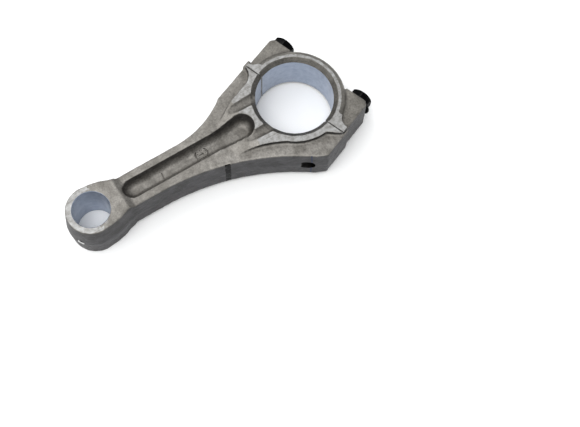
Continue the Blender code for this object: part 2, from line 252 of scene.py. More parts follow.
def cast_aluminium(name, light, dark):
    material, tree, shader, in_mm = start_finish(name, 1.0)
    grain = speckle(tree, in_mm, grain_size, 3.0, 0.7)
    blotches = speckle(tree, in_mm, blotch_size, 3.0)
    skin = blend_colour(tree, between(tree, blotches, 0.35, 0.65), colour(dark), colour(light))
    skin = darken(tree, skin, between(tree, grain, 0.3, 0.7, 0.66, 1.32))
    # Lighter outer corners: partly a little polish, partly a painted highlight along the edges.
    polish_and_edge_highlight = between(tree, add(tree, "NewGeometry").outputs["Pointiness"], 0.53, 0.6)
    skin = blend_colour(tree, maths(tree, "MULTIPLY", polish_and_edge_highlight, 0.35), skin, colour("A6A5A2"))
    # Painted shade: faces that stand upright get a darker, cooler colour, as the flanks look in shade.
    facing_up = maths(tree, "ABSOLUTE", add(tree, "SeparateXYZ", Vector=add(
        tree, "TexCoord").outputs["Normal"]).outputs["Z"])
    painted_upright_shade = blend_colour(tree, 1.0, skin, colour("9597A0"), "MULTIPLY")
    skin = blend_colour(tree, between(tree, facing_up, 0.1, 0.6), painted_upright_shade, skin)
    # Darker in the hollows: partly cast residue, partly painted shade where less light reaches.
    hollow_residue_and_shade = add(tree, "AmbientOcclusion", {"samples": 8, "only_local": True},
                  Distance=5.0 * MM).outputs["AO"]
    skin = blend_colour(tree, between(tree, hollow_residue_and_shade, 0.05, 0.95), colour("2F2B26"), skin)
    place = add(tree, "SeparateXYZ", Vector=in_mm)
    from_axis = add(tree, "VectorMath", {"operation": "LENGTH"}, Vector=add(
        tree, "CombineXYZ", X=place.outputs["X"], Y=place.outputs["Y"]).outputs["Vector"]).outputs["Value"]
    # Painted shade: the cast cone round the bore is darkened inside cone_edge.
    skin = darken(tree, skin, between(tree, from_axis, cone_edge, cone_edge + 0.4, cone_shade_grey, 1.0))
    return material, tree, shader, in_mm, grain, skin


def finish_cast(tree, shader, in_mm, grain, skin):
    """Roughness and dents, which every cast skin shares."""
    fine = speckle(tree, in_mm, grain_size * 0.6, 2.0)
    rough = between(tree, grain, 0.3, 0.7, 0.42, 0.62)
    dents = add(tree, "Bump", Height=grain, Distance=dent_depth * MM * 2, Strength=1.0).outputs["Normal"]
    dents = add(tree, "Bump", Height=fine, Distance=dent_depth * MM, Strength=0.8,
                Normal=dents).outputs["Normal"]
    tree.links.new(skin, shader.inputs["Base Color"])
    tree.links.new(rough, shader.inputs["Roughness"])
    tree.links.new(dents, shader.inputs["Normal"])


cast_rod, tree, shader, in_mm, grain, skin = cast_aluminium("cast_aluminium", "888580", "6F6C67")
place = add(tree, "SeparateXYZ", Vector=in_mm)
wobble = between(tree, grain, 0.3, 0.7, -0.15, 0.15)
along_x = maths(tree, "ADD", place.outputs["X"], wobble)
facing = add(tree, "SeparateXYZ", Vector=add(tree, "TexCoord").outputs["Normal"])
on_flank = maths(tree, "LESS_THAN", facing.outputs["Y"], -0.45)
for (start, end), outside, ink, cover in ((stripe_x, stripe_y, "050505", 1.0), (ink_x, ink_y, "1E2C50", 0.8)):
    inside = maths(tree, "MULTIPLY", maths(tree, "GREATER_THAN", along_x, start),
                   maths(tree, "LESS_THAN", along_x, end))
    inside = maths(tree, "MULTIPLY", inside, maths(tree, "LESS_THAN", place.outputs["Y"], outside))
    inside = maths(tree, "MULTIPLY", maths(tree, "MULTIPLY", inside, on_flank), cover)
    skin = blend_colour(tree, inside, skin, colour(ink))
finish_cast(tree, shader, in_mm, grain, skin)

cast_cap, tree, shader, in_mm, grain, skin = cast_aluminium("cap_cast_aluminium", "827F79", "6B6863")
finish_cast(tree, shader, in_mm, grain, skin)
print("cast finishes:", cast_rod.name, cast_cap.name)

# %% [markdown]
# ## Machined finishes
#
# Where a tool has taken the skin off, the metal is lighter, cooler and smoother. The side faces are ground
# flat and keep fine straight scratches. The bores are turned by a boring tool, so their marks run round, and
# their colour is painted lighter and faintly blue, a painted reflection of the pale blue room. The
# countersink of the oil hole is the brightest, and the walls of the narrow holes are painted dark as painted
# shade inside the holes. Fine marks are drawn as coarse as they need to show.

# %% Ground, bored and drilled aluminium
scratch_width = 0.35         # mm across the scratches
scratch_length = 9.0
bore_mark = 0.5


def machined(name, light, dark, roughness, mark_size, dent):
    """Bare metal with marks that are stretched as mark_size says, in mm along X, Y and Z."""
    material, tree, shader, in_mm = start_finish(name, 1.0)
    stretched = add(tree, "Mapping", Vector=in_mm, Scale=[1 / size for size in mark_size]).outputs["Vector"]
    marks = add(tree, "TexNoise", Vector=stretched, Scale=1.0, Detail=2.0).outputs["Fac"]
    blotches = speckle(tree, in_mm, 2.2, 4.0, 0.65)
    cover = maths(tree, "ADD", maths(tree, "MULTIPLY", marks, 0.25), maths(tree, "MULTIPLY", blotches, 0.75))
    skin = blend_colour(tree, between(tree, cover, 0.38, 0.62), colour(dark), colour(light))
    normal = add(tree, "Bump", Height=marks, Distance=dent * MM, Strength=1.0).outputs["Normal"]
    rough = between(tree, cover, 0.35, 0.65, roughness + 0.06, roughness - 0.06)
    tree.links.new(skin, shader.inputs["Base Color"])
    tree.links.new(rough, shader.inputs["Roughness"])
    tree.links.new(normal, shader.inputs["Normal"])
    return material


ground = machined("ground_aluminium", "A6A6A5", "7F7D7A", 0.48, (scratch_length, scratch_width, 1.0), 0.01)
# The bored colour is lighter and faintly blue as a painted reflection of the pale blue room.
bored = machined("bored_aluminium", "A2ABBA", "959FB0", 0.36, (30.0, 30.0, bore_mark), 0.01)
# Painted shade: the walls of the bolt holes and the oil hole are nearly black, standing in for the shade in
# them.
hole_shade = machined("painted_hole_shade", "3A3938", "1C1B1B", 0.5, (0.6, 0.6, 0.6), 0.05)
drilled = machined("drilled_aluminium", "E4E4E2", "8E8E8E", 0.3, (0.5, 0.5, 0.3), 0.06)
print("machined finishes:", ground.name, bored.name, drilled.name)

# %% [markdown]
# ## Black bolts
#
# The bolts are steel with a black oxide finish, a thin layer grown in a hot bath and then oiled. It is nearly
# black with a soft sheen, a touch uneven, and it wears to bare steel on the corners of the hexagon.

# %% Black oxide steel
black_oxide, tree, shader, in_mm = start_finish("black_oxide_steel", 0.08)
blotches = speckle(tree, in_mm, 1.2, 3.0)
skin = blend_colour(tree, between(tree, blotches, 0.35, 0.65), colour("050506"), colour("0A0A0B"))
worn = between(tree, add(tree, "NewGeometry").outputs["Pointiness"], 0.56, 0.66)
skin = blend_colour(tree, maths(tree, "MULTIPLY", worn, 0.12), skin, colour("6B6A68"))
tree.links.new(skin, shader.inputs["Base Color"])
tree.links.new(between(tree, blotches, 0.3, 0.7, 0.36, 0.52), shader.inputs["Roughness"])
shader.inputs["Specular IOR Level"].default_value = 0.02
tree.links.new(add(tree, "Bump", Height=blotches, Distance=0.02 * MM, Strength=1.0).outputs["Normal"],
               shader.inputs["Normal"])
print("bolt finish:", black_oxide.name)

# %% [markdown]
# ## The table
#
# A large, plain, pale sheet under the part. It has a very faint unevenness, so that it doesn't look like a
# flat colour, and it is marked as a stage, because it isn't part of the object.

# %% Floor
paper, tree, shader, in_mm = start_finish("pale_paper", 0.0)
fibres = speckle(tree, in_mm, 40.0, 3.0)
tree.links.new(blend_colour(tree, fibres, colour("F6F6F5"), colour("FBFBFB")), shader.inputs["Base Color"])
shader.inputs["Roughness"].default_value = 0.85
shader.inputs["Specular IOR Level"].default_value = 0.2
bpy.ops.object.select_all(action="DESELECT")
bpy.ops.mesh.primitive_plane_add(size=20.0, location=(0.0, 0.0, cad_low.z))
floor = bpy.context.object
floor.name = "floor"
floor.data.materials.append(paper)
floor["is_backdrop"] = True
print("floor at", round(floor.location.z, 4))

# %% [markdown]
# ## Bench helpers
#
# These are the moves that every piece repeats. A line is drawn point by point, as with the E key. A flat
# outline becomes a face, and the face rises by insets, each of which goes up by a height and in by a draft.
# A half body is closed by a mirror over the parting plane, and a cutter by filling its open side. Turned
# shapes are spun about the Z axis.

# %% Selecting and drawing
def deselect():
    if bpy.context.mode != "OBJECT":
        bpy.ops.object.mode_set(mode="OBJECT")
    bpy.ops.object.select_all(action="DESELECT")


def pick(item):
    """Leaves only this object selected, and active."""
    deselect()
    item.select_set(True)
    bpy.context.view_layer.objects.active = item


def draw_line(name, points):
    """An object with one open line through the points, left in edit mode."""
    deselect()
    bpy.ops.mesh.primitive_plane_add(size=1.0)
    item = bpy.context.object
    item.name = name
    bpy.ops.object.mode_set(mode="EDIT")
    bpy.ops.mesh.select_all(action="SELECT")
    bpy.ops.mesh.merge(type="CENTER")
    bpy.ops.transform.translate(value=points[0])
    for start, end in zip(points, points[1:]):
        step = [b - a for a, b in zip(start, end)]
        bpy.ops.mesh.extrude_vertices_move(TRANSFORM_OT_translate={"value": step})
    bpy.ops.mesh.select_all(action="SELECT")
    return item


def rise(name, outline, base, steps, direction=1.0):
    """An open body on a flat outline, left in edit mode; steps are (height, inset) pairs."""
    item = draw_line(name, [(x, y, base) for x, y in outline])
    bpy.ops.mesh.edge_face_add()
    bpy.ops.object.mode_set(mode="OBJECT")
    looks_up = item.data.polygons[0].normal.z > 0.0
    bpy.ops.object.mode_set(mode="EDIT")
    bpy.ops.mesh.select_all(action="SELECT")
    if looks_up != (direction > 0.0):
        bpy.ops.mesh.flip_normals()
    for height, inset in steps:
        bpy.ops.mesh.inset(thickness=inset, depth=height)
    return item


print("helpers for lines and risen outlines are ready")

# %% Cutting, closing and turning
def slice_off(point, normal):
    """Cuts the edited body with a plane and takes away what lies on the normal's side."""
    bpy.ops.mesh.select_all(action="SELECT")
    bpy.ops.mesh.bisect(plane_co=point, plane_no=normal, use_fill=True, clear_outer=True)


def close_by_mirror(item):
    """Mirrors the half body over the parting plane, z = 0."""
    pick(item)
    bpy.ops.object.modifier_add(type="MIRROR")
    mirror = item.modifiers[-1]
    mirror.use_axis = (False, False, True)
    mirror.merge_threshold = 0.0001
    bpy.ops.object.modifier_apply(modifier=mirror.name)
    turn_out(item)
    return item


def turn_out(item):
    """Makes all faces point outwards and leaves the object mode on."""
    pick(item)
    bpy.ops.object.mode_set(mode="EDIT")
    bpy.ops.mesh.select_all(action="SELECT")
    bpy.ops.mesh.normals_make_consistent(inside=False)
    bpy.ops.object.mode_set(mode="OBJECT")
    return item


def weld(item, distance=0.01):
    """Merges points that a bevel or a cut left almost on top of each other."""
    pick(item)
    bpy.ops.object.mode_set(mode="EDIT")
    bpy.ops.mesh.select_all(action="SELECT")
    bpy.ops.mesh.remove_doubles(threshold=distance)
    bpy.ops.mesh.dissolve_degenerate(threshold=distance / 10)
    bpy.ops.object.mode_set(mode="OBJECT")
    return turn_out(item)


def close_by_filling(item):
    bpy.ops.mesh.select_all(action="SELECT")
    bpy.ops.mesh.fill_holes(sides=0)
    return turn_out(item)


def turn(name, profile, steps):
    """A body turned about Z from (radius, height) points that start and end on the axis."""
    item = draw_line(name, [(radius, 0.0, height) for radius, height in profile])
    bpy.ops.mesh.spin(steps=steps, angle=math.tau, center=(0.0, 0.0, 0.0), axis=(0.0, 0.0, 1.0))
    bpy.ops.mesh.select_all(action="SELECT")
    bpy.ops.mesh.remove_doubles(threshold=0.0005)
    return turn_out(item)


def box(name, size, place, angles=(0.0, 0.0, 0.0)):
    """A block for cutting, size and place in mm."""
    deselect()
    bpy.ops.mesh.primitive_cube_add(size=1.0, location=place, rotation=angles, scale=size)
    bpy.context.object.name = name
    bpy.ops.object.transform_apply(location=True, rotation=True, scale=True)
    return bpy.context.object


def drill(name, start, end, radius, sides=64):
    """A round rod from start to end, for holes and grooves."""
    deselect()
    start, end = Vector(start), Vector(end)
    way = (end - start).to_track_quat("Z", "Y").to_euler()
    bpy.ops.mesh.primitive_cylinder_add(vertices=sides, radius=radius, depth=(end - start).length,
                                        location=(start + end) / 2, rotation=way)
    bpy.context.object.name = name
    bpy.ops.object.transform_apply(location=True, rotation=True, scale=True)
    return bpy.context.object


print("helpers for cuts, turned shapes, blocks and drills are ready")

# %% Joining and finishing
def combine(item, tool, operation="DIFFERENCE"):
    """A boolean with the tool, which is then put away; cut faces take the tool's finish."""
    pick(item)
    bpy.ops.object.modifier_add(type="BOOLEAN")
    step = item.modifiers[-1]
    step.operation = operation
    step.object = tool
    step.material_mode = "TRANSFER"
    bpy.ops.object.modifier_apply(modifier=step.name)
    bpy.data.objects.remove(tool, do_unlink=True)
    return item


def coat(item, material):
    item.data.materials.clear()
    item.data.materials.append(material)
    return item


def cast_skin(item, voxel, rounding, waviness):
    """Melts sharp edges as a mould does: an even mesh, smoothed and very slightly wavy."""
    pick(item)
    bpy.ops.object.modifier_add(type="REMESH")
    item.modifiers[-1].mode = "VOXEL"
    item.modifiers[-1].voxel_size = voxel
    bpy.ops.object.modifier_apply(modifier=item.modifiers[-1].name)
    bpy.ops.object.modifier_add(type="SMOOTH")
    item.modifiers[-1].factor = 0.5
    item.modifiers[-1].iterations = rounding
    bpy.ops.object.modifier_apply(modifier=item.modifiers[-1].name)
    waves = bpy.data.textures.new("mould_waves", "CLOUDS")
    waves.noise_scale = 2.2
    waves.noise_depth = 2
    bpy.ops.object.modifier_add(type="DISPLACE")
    item.modifiers[-1].texture = waves
    item.modifiers[-1].strength = waviness
    item.modifiers[-1].mid_level = 0.5
    bpy.ops.object.modifier_apply(modifier=item.modifiers[-1].name)
    print(item.name, "skin has", len(item.data.polygons), "faces")
    return item


def shade(item, degrees=35.0):
    """Smooth shading, but sharp where two finishes meet."""
    pick(item)
    bpy.ops.object.shade_smooth_by_angle(angle=math.radians(degrees))
    bpy.ops.object.mode_set(mode="EDIT")
    for slot in range(len(item.material_slots)):
        bpy.ops.mesh.select_all(action="DESELECT")
        item.active_material_index = slot
        bpy.ops.object.material_slot_select()
        bpy.ops.mesh.region_to_loop()
        bpy.ops.mesh.mark_sharp()
    bpy.ops.object.mode_set(mode="OBJECT")
    return item


def to_frame(item):
    """Takes a piece from the bench to its place in the frame, in metres."""
    pick(item)
    bpy.ops.transform.resize(value=(MM, MM, MM), center_override=(0.0, 0.0, 0.0))
    bpy.ops.transform.translate(value=crank_centre)
    bpy.ops.object.transform_apply(location=True, rotation=True, scale=True)
    item.data.calc_loop_triangles()
    print(item.name, "has", len(item.data.loop_triangles), "triangles")
    return item


print("helpers for castings and finishes are ready")

# %% [markdown]
# ## Outlines
#
# Two small functions give most of the shapes. An arc is a run of points on a circle. A flare is a flank that
# leaves a straight line gently and bends out to a point, as the sides of the beam do. The joint between rod
# and cap has its own axes, u along the bolts and v along the joint, and to_plan turns them into x and y.

# %% Arcs, flares and the joint's axes
def arc(centre, radius, start, end, steps):
    """Points on an arc, with its angles in degrees."""
    return [(centre[0] + radius * math.cos(math.radians(start + (end - start) * i / steps)),
             centre[1] + radius * math.sin(math.radians(start + (end - start) * i / steps)))
            for i in range(steps + 1)]


def flare(x0, y0, end, steps):
    """A flank that leaves the line y = y0 at x0 without a corner and bends out to end."""
    run, lift = end[0] - x0, end[1] - y0
    radius = (run ** 2 + lift ** 2) / (2.0 * abs(lift))
    side = math.copysign(1.0, lift)
    turned = math.asin(run / radius)
    return [(x0 + radius * math.sin(turned * i / steps),
             y0 + side * radius * (1.0 - math.cos(turned * i / steps))) for i in range(steps + 1)]


def to_plan(u, v):
    c, s = math.cos(split_angle), math.sin(split_angle)
    return (u * c - v * s, u * s + v * c)


def to_plan_all(points):
    return [to_plan(u, v) for u, v in points]


print("bolt axis meets the joint at", [round(c, 1) for c in to_plan(0.0, bolt_v)])

# %% [markdown]
# ## The rod's casting
#
# The beam is widest at the parting line, half way up, because the two halves of the mould need draft to let
# go. So we draw its outline once, raise it with a small inset, round its upper edge with a few more, and
# mirror the half body. The flanks flare out from the beam to the big eye, and end in two small lips that
# will hold the cap from sliding.

# %% Sizes of the casting
beam_half_width = 8.4
beam_half_thickness = 9.4
near_flare_start = 30.5
far_flare_start = 47.0
near_corner_u = -15.4
far_corner_u = -21.3
split_u = -1.1
lip_gap = 0.25
near_ear = 6.0               # from a bolt's axis to the end of its ear
far_ear = 4.6
near_lip = 0.95              # thickness of the lips
far_lip = 1.65
near_ear_v = -(bolt_v + near_ear)
far_ear_v = bolt_v + far_ear
near_flank_v = near_ear_v - lip_gap - near_lip
far_flank_v = far_ear_v + lip_gap + far_lip
near_lip_end = split_u + 3.1
far_lip_end = split_u + 4.1


def beam_outline():
    """The beam and the rod's half of the big eye, out to the tips of the lips."""
    near = flare(pin_x + near_flare_start, -beam_half_width, to_plan(near_corner_u, near_flank_v), 18)
    far_corner = to_plan(far_corner_u, far_flank_v - far_lip / 2)
    far = flare(pin_x + far_flare_start, beam_half_width, far_corner, 14)
    lips = to_plan_all([(near_corner_u + 1.6, near_flank_v), (near_lip_end, near_flank_v),
                        (far_lip_end, far_flank_v), (split_u - 0.5, far_flank_v),
                        (split_u - 1.5, far_flank_v - far_lip / 2)])
    return [(pin_x, -beam_half_width)] + near[:-1] + lips + far[::-1] + [(pin_x, beam_half_width)]


rounded_edge = [(0.35, 0.06), (0.25, 0.12), (0.1, 0.22)]
rod = rise("connecting_rod", beam_outline(), 0.0, [(beam_half_thickness - 0.7, 0.35)] + rounded_edge)
close_by_mirror(rod)
print("beam has", len(rod.data.vertices), "points")

# %% [markdown]
# The raised side faces are two more bodies. At the big eye a pad rises out of the beam along a shallow ramp
# and then surrounds the bore. At the small eye a rounded boss stands over the beam and steps down to it.
# A slice with a slanting plane makes the ramp, and another makes the step. Their tops are a little higher
# than the finished faces, because the grinder needs something to take off.

# %% Side faces round the bores
crank_radius = 18.0
pin_radius = 8.5
pad_radius = 23.2
pad_ramp_end = -26.0
pad_ramp_slope = 2.0 / 12.0
spare = 0.1                  # mm that the grinder takes off


def pad_outline():
    """The raised face round the rod's half of the crankpin bore."""
    joint = split_u - 0.8
    ring = arc((0.0, 0.0), pad_radius, 230.0, 276.0, 10)
    near = flare(-40.0, -11.0, ring[0], 10)[:-1]
    near_corner = to_plan_all([(joint - 1.6, near_flank_v + 3.15), (joint, near_flank_v + near_lip),
                               (split_u + 4.0, near_flank_v + near_lip),
                               (split_u + 4.0, far_flank_v - far_lip)])
    blend, far_line = 7.0, pad_radius - 1.4
    centre = (joint - blend, far_line + blend)
    sweep = math.degrees(math.acos((centre[1] - far_flank_v + far_lip) / blend))
    far_arc = to_plan_all(arc(centre, blend, sweep - 90.0, -90.0, 8))
    tail = [to_plan(-pad_radius + 2.0, far_line), (-38.0, 6.2), (-46.0, 6.2)]
    return [(-46.0, -11.0)] + near + ring + near_corner + far_arc + tail


pad = rise("pad", pad_outline(), 0.0, [(face_half + spare, 0.35)])
slice_off((pad_ramp_end, 0.0, face_half), (-pad_ramp_slope, 0.0, 1.0))
combine(rod, close_by_mirror(pad), "UNION")

boss_radius = pin_radius + 3.3
step_x = pin_x + 14.5


def boss_outline():
    """The small eye, from its round end to the step down to the beam."""
    widest = boss_radius + 0.68
    near = [(pin_x + 5.5, -widest + 0.6), (pin_x + 9.5, -widest + 1.4), (pin_x + 13.5, -widest + 3.0),
            (pin_x + 16.0, -beam_half_width - 0.5), (pin_x + 19.0, -beam_half_width + 0.6)]
    return arc((pin_x, 0.0), widest, 92.0, 268.0, 32) + near + [(x, -y) for x, y in near[::-1]]


boss = rise("boss", boss_outline(), 0.0, [(face_half - 0.5, 0.95), (0.25, 0.05), (0.25 + spare, 0.2)])
slice_off((step_x, 0.0, face_half), (0.66, 0.0, 1.0))
slice_off((pin_x - 1.0, 0.0, face_half + 0.04), (0.012, 0.0, 1.0))
combine(rod, close_by_mirror(boss), "UNION")
print("with its side faces the rod has", len(rod.data.vertices), "points")

# %% [markdown]
# Both faces of the beam have a long trough with rounded walls, which saves weight where the beam needs
# none. Two oil grooves run from the ramp into the bore: each is a round cutter that dips towards the bore,
# so its mark starts at a point and widens. A wide cone rounds off both ends of the bore. All of these are
# cast, so they are cut before the skin is made.

# %% Troughs, oil grooves and cast cones
trough_depth = 5.0
trough_slim_half = 4.6
trough_wide_half = 5.7
trough_left = pin_x + 20.8
trough_right = -(crank_radius + 4.8 + trough_wide_half)
trough_widens = -42.0
trough_above = 3.5           # the cutter starts this far over the beam, and this much wider
trough_flare = 0.7
groove_radius = 2.75
groove_sink = 0.35           # deeper than the frame's own groove
cone_drop = 1.75
cone_flare = 2.0


def trough_outline(grow):
    slim, wide = trough_slim_half + grow, trough_wide_half + grow
    return (arc((trough_left, 0.0), slim, 90.0, 270.0, 20) + [(trough_widens, -slim)]
            + arc((trough_right, 0.0), wide, -90.0, 90.0, 20) + [(trough_widens, slim)])


for side in (1.0, -1.0):
    trough = rise("trough", trough_outline(trough_flare), side * (beam_half_thickness + trough_above),
                  [(trough_above, trough_flare), (1.0, 0.25), (1.6, 0.5), (1.2, 0.7), (0.8, 0.9), (0.4, 0.9)],
                  -side)
    combine(rod, close_by_filling(trough))
    for groove_y in (8.9, -7.1):
        start = Vector((-32.0, groove_y, side * (face_half + groove_radius * 0.86 - groove_sink)))
        low = face_half - cone_drop + 0.15 - groove_sink
        end = Vector((-crank_radius + 2.5, groove_y, side * (low + groove_radius)))
        combine(rod, drill("groove", start - (end - start) * 0.2, end, groove_radius, 32))

reach = 4.0
cone_top = crank_radius + cone_flare + cone_flare / cone_drop * reach
core = crank_radius - 0.8
core_z = face_half - cone_drop * (1.0 + (crank_radius - core) / cone_flare)
bore_core = [(0.0, -face_half - reach), (cone_top, -face_half - reach), (core, -core_z), (core, core_z),
             (cone_top, face_half + reach), (0.0, face_half + reach)]
combine(rod, turn("bore_core", bore_core, 128))
combine(rod, drill("pin_core", (pin_x, 0.0, -20.0), (pin_x, 0.0, 20.0), pin_radius - 0.8))
print("cast shape has", len(rod.data.polygons), "faces")

# %% [markdown]
# Now the skin. The remesh turns the joined bodies into one even mesh, which melts the corners between them,
# and smoothing rounds them as a mould would. The displacement is about a tenth of a millimetre, but it
# makes the edge between the rough skin and a ground face wander, as it does on a real casting.

# %% Casting skin of the rod
skin_voxel = 0.42
cast_skin(rod, skin_voxel, 2, 0.22)
coat(rod, cast_rod)
print("rod box:", [round(c, 2) for c in rod.dimensions])

# %% [markdown]
# The mould also left two small marks sunk in the floor of the trough: a short tally bar and a round date
# clock, a ring with an arrow and dots that tells a foundry when the part was poured. They are too fine for
# the skin's mesh, so they are cut afterwards, and the cut faces keep the cast finish.

# %% Cast marks
floor_z = beam_half_thickness - trough_depth
mark_depth = 0.4
clock_centre = Vector((-49.5, 0.0, floor_z))
clock_radius = 2.9
dots = 12
dot_ring = 1.95              # radius of the ring of dots


def stamp(name, outline):
    """Sinks a flat outline, given round the clock's centre, into the trough's floor."""
    points = [(clock_centre.x + x, clock_centre.y + y) for x, y in outline]
    item = close_by_filling(rise(name, points, floor_z - mark_depth, [(mark_depth + 1.0, 0.0)]))
    return combine(rod, coat(item, cast_rod))


stamp("tally", [(-20.8, -1.5), (-20.2, -1.6), (-19.8, 1.5), (-20.4, 1.6)])
stamp("arrow", [(-1.2, -0.22), (0.2, -0.22), (0.2, -0.7), (1.3, 0.0), (0.2, 0.7), (0.2, 0.22), (-1.2, 0.22)])
deselect()
bpy.ops.mesh.primitive_torus_add(location=clock_centre, major_radius=clock_radius, minor_radius=mark_depth,
                                 major_segments=64, minor_segments=12)
combine(rod, coat(bpy.context.object, cast_rod))
for step in range(dots):
    angle = math.radians(360.0 / dots * step)
    spot = clock_centre + Vector((math.cos(angle), math.sin(angle), 0.0)) * dot_ring
    dot = drill("dot", spot - Vector((0.0, 0.0, mark_depth)), spot + Vector((0.0, 0.0, 1.0)), 0.2, 10)
    combine(rod, coat(dot, cast_rod))
print("marks cut,", len(rod.data.polygons), "faces")

# %% [markdown]
# ## Machining the rod
#
# All cutters are first joined into one body, because joining small bodies is quick and cutting the fine skin
# is slow. Each cutter carries the finish that its tool leaves, and the boolean hands it to the faces it cuts.
# Two blocks grind the side faces, two round bodies bore the eyes, a third block clears the place of the cap
# and leaves the joint faces, and four thin bars break the joint's edges, which makes the joint a dark line.

# %% Cutters of the rod
shave = 0.005                # mm inside the frame's own faces
joint_break = 0.7            # thickness of the bars that break the joint's edges
gap = 0.3
rod_joint = split_u - gap / 2
high = 18.0                  # cutters of the bores end this far over and under the middle
room_half = 15.0             # and the blocks that clear the joint this far
room_end = 30.0
grinder_x = -35.0            # middle of the grinding blocks, whose size is (length, width, height)
grinder_size = (170.0, 110.0, 10.0)


def grinding_blocks():
    """Two blocks that leave the side faces flat, joined into one body."""
    half = grinder_size[2] / 2
    top = box("grinder", grinder_size, (grinder_x, 0.0, face_half - shave + half))
    low = box("grinder_low", grinder_size, (grinder_x, 0.0, -face_half + shave - half))
    return combine(coat(top, ground), coat(low, ground), "UNION")


def bore_cutter():
    return coat(drill("boring_bar", (0.0, 0.0, -high), (0.0, 0.0, high), crank_radius, 192), bored)


def break_joint_edges(cutter, u):
    """Joins thin bars, set on edge, to the cutter, along the joint at the faces and down the bore."""
    for z in (face_half, -face_half):
        bar = box("bar", (joint_break, 80.0, joint_break), (*to_plan(u, 0.0), z),
                  (0.0, math.pi / 4, split_angle))
        combine(cutter, coat(bar, ground), "UNION")
    for v in (crank_radius, -crank_radius):
        bar = box("bar", (joint_break, joint_break, 2 * face_half), (*to_plan(u, v), 0.0),
                  (0.0, 0.0, split_angle + math.pi / 4))
        combine(cutter, coat(bar, ground), "UNION")


cutter = combine(grinding_blocks(), bore_cutter(), "UNION")
edge_break = 0.25
pin_profile = [(0.0, -high), (pin_radius + edge_break, -high), (pin_radius + edge_break, -face_half),
               (pin_radius, edge_break - face_half), (pin_radius, face_half - edge_break),
               (pin_radius + edge_break, face_half), (pin_radius + edge_break, high), (0.0, high)]
pin_cutter = turn("pin_reamer", pin_profile, 128)
bpy.ops.transform.translate(value=(pin_x, 0.0, 0.0))
bpy.ops.object.transform_apply(location=True, rotation=False, scale=False)
combine(cutter, coat(pin_cutter, bored), "UNION")
room = to_plan_all([(rod_joint, near_ear_v - lip_gap), (room_end, near_ear_v - lip_gap),
                    (room_end, far_ear_v + lip_gap), (rod_joint, far_ear_v + lip_gap)])
cap_room = close_by_filling(rise("cap_room", room, -room_half, [(room_half, 0.0), (room_half, 0.0)]))
combine(cutter, coat(cap_room, ground), "UNION")
break_joint_edges(cutter, rod_joint)
print("cutter has", len(cutter.data.polygons), "faces")

# %% [markdown]
# The two bolt holes start at the joint and run so close to the flank that the near one breaks through it.
# Their threads are left out. The small eye has an oil hole with a wide countersink.

# %% Bolt holes, oil hole and the cut
bolt_radius = 3.0
hole_radius = 3.2
seat_u = 18.5
bolt_reach = 35.6            # under the head
hole_extra = 4.5             # the hole is deeper than the bolt by this
flange_radius = 6.5
hole_end = seat_u - bolt_reach - hole_extra
oil_angle = math.radians(213.0)
oil_radius = 1.3
oil_sink = 2.0

for v in (-bolt_v, bolt_v):
    hole = drill("tap", (*to_plan(hole_end, v), 0.0), (*to_plan(5.0, v), 0.0), hole_radius, 48)
    combine(cutter, coat(hole, hole_shade), "UNION")
oil_way = Vector((math.cos(oil_angle), math.sin(oil_angle), 0.0))
pin_axis = Vector((pin_x, 0.0, 0.0))
oil_hole = drill("oil_drill", pin_axis + oil_way * 4.0, pin_axis + oil_way * 16.0, oil_radius, 32)
combine(cutter, coat(oil_hole, hole_shade), "UNION")
deselect()
bpy.ops.mesh.primitive_cone_add(vertices=40, radius1=0.2, radius2=oil_sink * 1.9, depth=4.0,
                                location=pin_axis + oil_way * (boss_radius + 0.9),
                                rotation=oil_way.to_track_quat("Z", "Y").to_euler())
countersink = bpy.context.object
bpy.ops.object.transform_apply(location=True, rotation=True, scale=True)
combine(cutter, coat(countersink, drilled), "UNION")
combine(rod, cutter)
print("machined rod has", len(rod.data.polygons), "faces and", [m.name for m in rod.data.materials])

# %% [markdown]
# ## The bearing cap
#
# The cap is a half ring with an ear at each end. The ring's outer edges are well rounded, so that only a
# narrow crest reaches the side faces. The ears are lower than the ring, and their upper corner slants away
# beside the bolt's flange. Where the ring runs into an ear, the high side face spreads out to the joint.

# %% Casting of the cap
ring_radius = crank_radius + 5.7
ear_height = 9.4
seat_spare = 0.6
ear_inner = bolt_v - flange_radius - gap


def ear_outline(side, ear_v):
    outer = abs(ear_v)
    ear = [(split_u - 4.0, ear_inner + 0.4), (seat_u + seat_spare, ear_inner + 0.4),
           (seat_u + seat_spare, outer - 1.5 - seat_spare), (seat_u - 1.5, outer), (split_u - 4.0, outer)]
    return to_plan_all(ear if side > 0.0 else [(u, -v) for u, v in ear[::-1]])


def spread_outline(side, ear_v, reach_u, blend):
    """The side face between the ring and the end of an ear, rounded into the ring."""
    middle = (reach_u + blend, math.sqrt((ring_radius + blend) ** 2 - (reach_u + blend) ** 2))
    last = 180.0 + math.degrees(math.atan2(middle[1], middle[0]))
    face = [(split_u - 4.0, crank_radius + 1.0), (reach_u + 3.0, crank_radius + 1.0)]
    face += arc(middle, blend, 180.0, last, 10)[::-1] + [(reach_u, abs(ear_v))]
    face = [point for point in face if point[1] <= abs(ear_v)] + [(split_u - 4.0, abs(ear_v))]
    return to_plan_all(face if side > 0.0 else [(u, -v) for u, v in face[::-1]])


